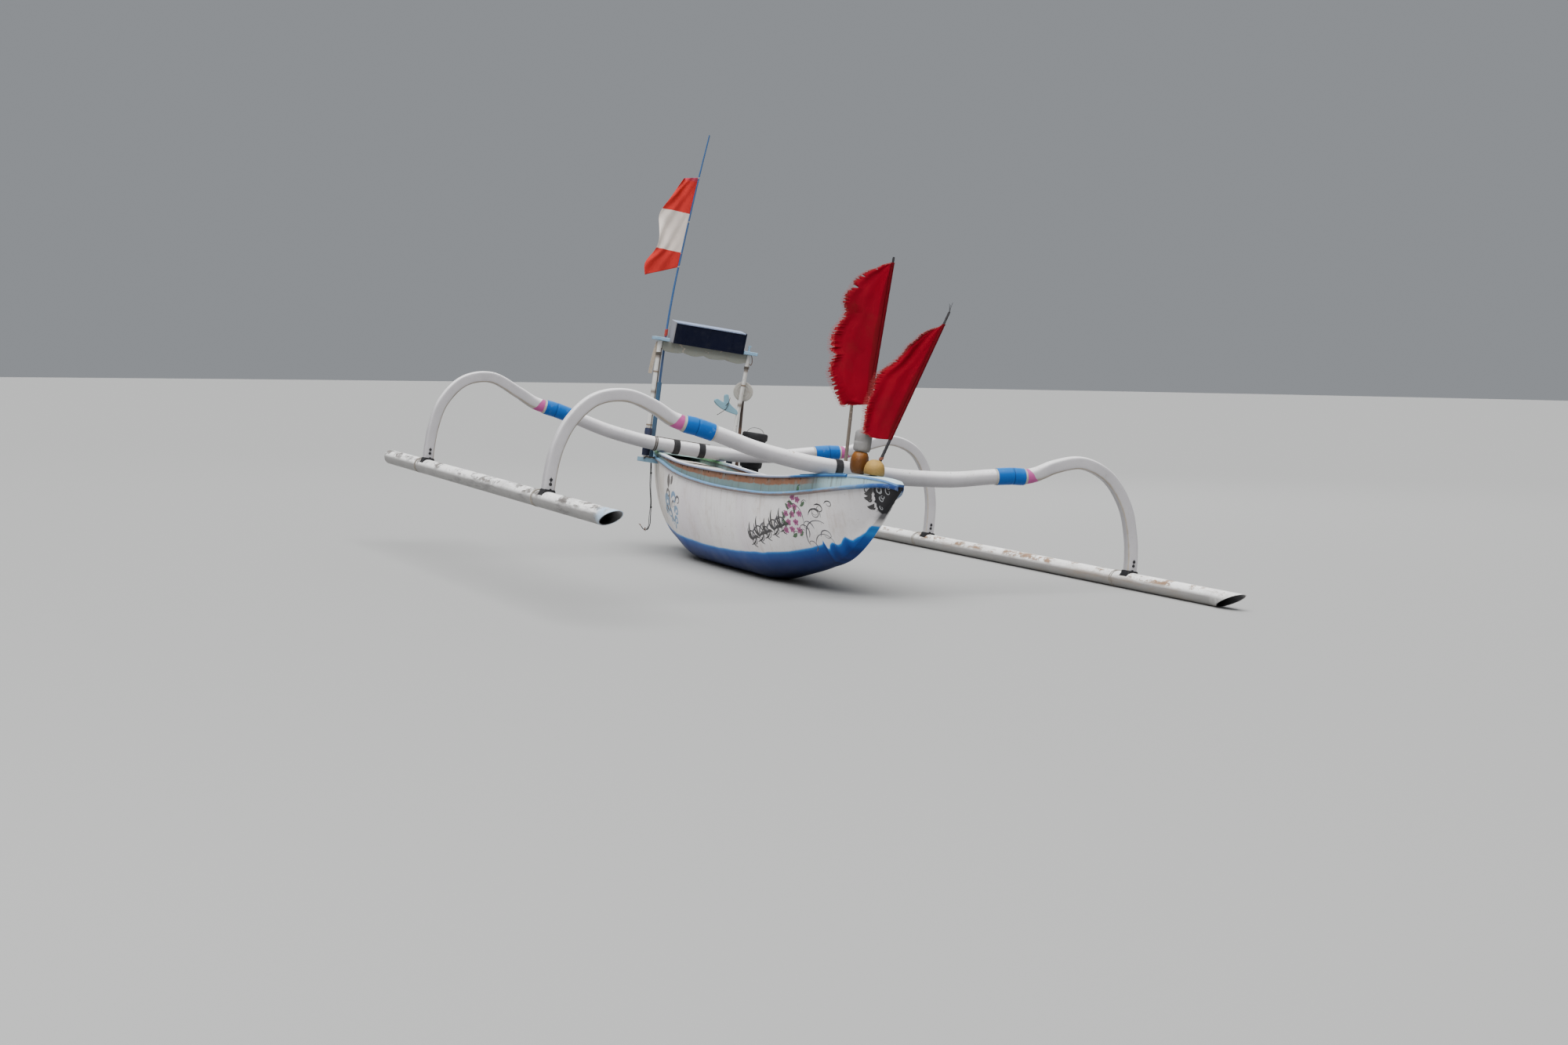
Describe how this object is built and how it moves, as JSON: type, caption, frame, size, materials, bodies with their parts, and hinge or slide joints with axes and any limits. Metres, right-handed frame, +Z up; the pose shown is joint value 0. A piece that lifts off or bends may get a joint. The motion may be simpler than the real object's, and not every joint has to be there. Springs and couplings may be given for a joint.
{
  "type": "outrigger canoe",
  "caption": "Dugout fishing canoe with arched arms that carry a pipe float on each side, with marker flags, at rest on its keel and port float.",
  "frame": {"origin": "middle of the footprint on the floor, with the canoe heeled to port as it rests on the beach", "axes": "+X forward to the bow, +Y to port, +Z up from the floor"},
  "size_m": [6.1754, 4.1126, 3.1272],
  "materials": {
    "hull_paint": "aged gloss paint over a dugout hull",
    "strake_paint": "worn grey-green paint",
    "rail_paint": "chalky white paint",
    "blue_paint": "blue paint",
    "deck_paint": "pale cyan paint",
    "pole_paint": "white paint over bamboo and carved wood",
    "sleeve_blue": "bright blue",
    "float_pipe": "white with flaking paint and dirt",
    "pad_rubber": "black, weathered",
    "navy_paint": "dark blue paint",
    "board_paint": "grey weathered paint",
    "box_plastic": "dark navy",
    "flag_cloth": "thin woven flag cloth",
    "staff_black": "black wrapped staff",
    "bamboo": "weathered bamboo",
    "foam_orange": "burnt orange float",
    "foam_tan": "tan foam",
    "foam_grey": "grey foam",
    "line_rope": "dark rope"
  },
  "bodies": {
    "root": {"hull_shell": "hull_paint", "washstrake_aft_port": "strake_paint", "washstrake_aft_starboard": "strake_paint", "washstrake_fore_port": "strake_paint", "washstrake_fore_starboard": "strake_paint", "crossboard": "strake_paint", "cap_rail_aft_port": "rail_paint", "cap_rail_aft_starboard": "rail_paint", "cap_rail_fore_port": "rail_paint", "cap_rail_fore_starboard": "rail_paint", "reel": "rail_paint", "rub_rail_port": "blue_paint", "rub_rail_starboard": "blue_paint", "rear_packing_port": "blue_paint", "rear_packing_starboard": "blue_paint", "flagpole": "blue_paint", "pole_socket": "blue_paint", "foredeck": "deck_paint", "stern_deck": "deck_paint", "post_cap_port": "deck_paint", "post_cap_starboard": "deck_paint", "spar_crutch": "deck_paint", "front_beam": "pole_paint", "rear_beam": "pole_paint", "front_arm_port": "pole_paint", "front_arm_starboard": "pole_paint", "rear_arm_port": "pole_paint", "rear_arm_starboard": "pole_paint", "post_port": "pole_paint", "post_starboard": "pole_paint", "front_sleeve_port": "sleeve_blue", "front_sleeve_starboard": "sleeve_blue", "rear_sleeve_port": "sleeve_blue", "rear_sleeve_starboard": "sleeve_blue", "float_port": "float_pipe", "float_starboard": "float_pipe", "front_foot_pad_port": "pad_rubber", "front_foot_pad_starboard": "pad_rubber", "rear_foot_pad_port": "pad_rubber", "rear_foot_pad_starboard": "pad_rubber", "post_clamp_port": "navy_paint", "post_clamp_starboard": "navy_paint", "scalloped_board": "board_paint", "thwart_fore": "board_paint", "thwart_aft": "board_paint", "box": "box_plastic", "bow_flag_1": "flag_cloth", "bow_flag_2": "flag_cloth", "stern_flag": "flag_cloth", "staff_1": "staff_black", "staff_2": "staff_black", "line_tub": "staff_black", "staff_3": "bamboo", "marker_float_orange": "foam_orange", "marker_float_tan": "foam_tan", "marker_float_grey": "foam_grey", "stern_line": "line_rope"}
  },
  "joints": []
}
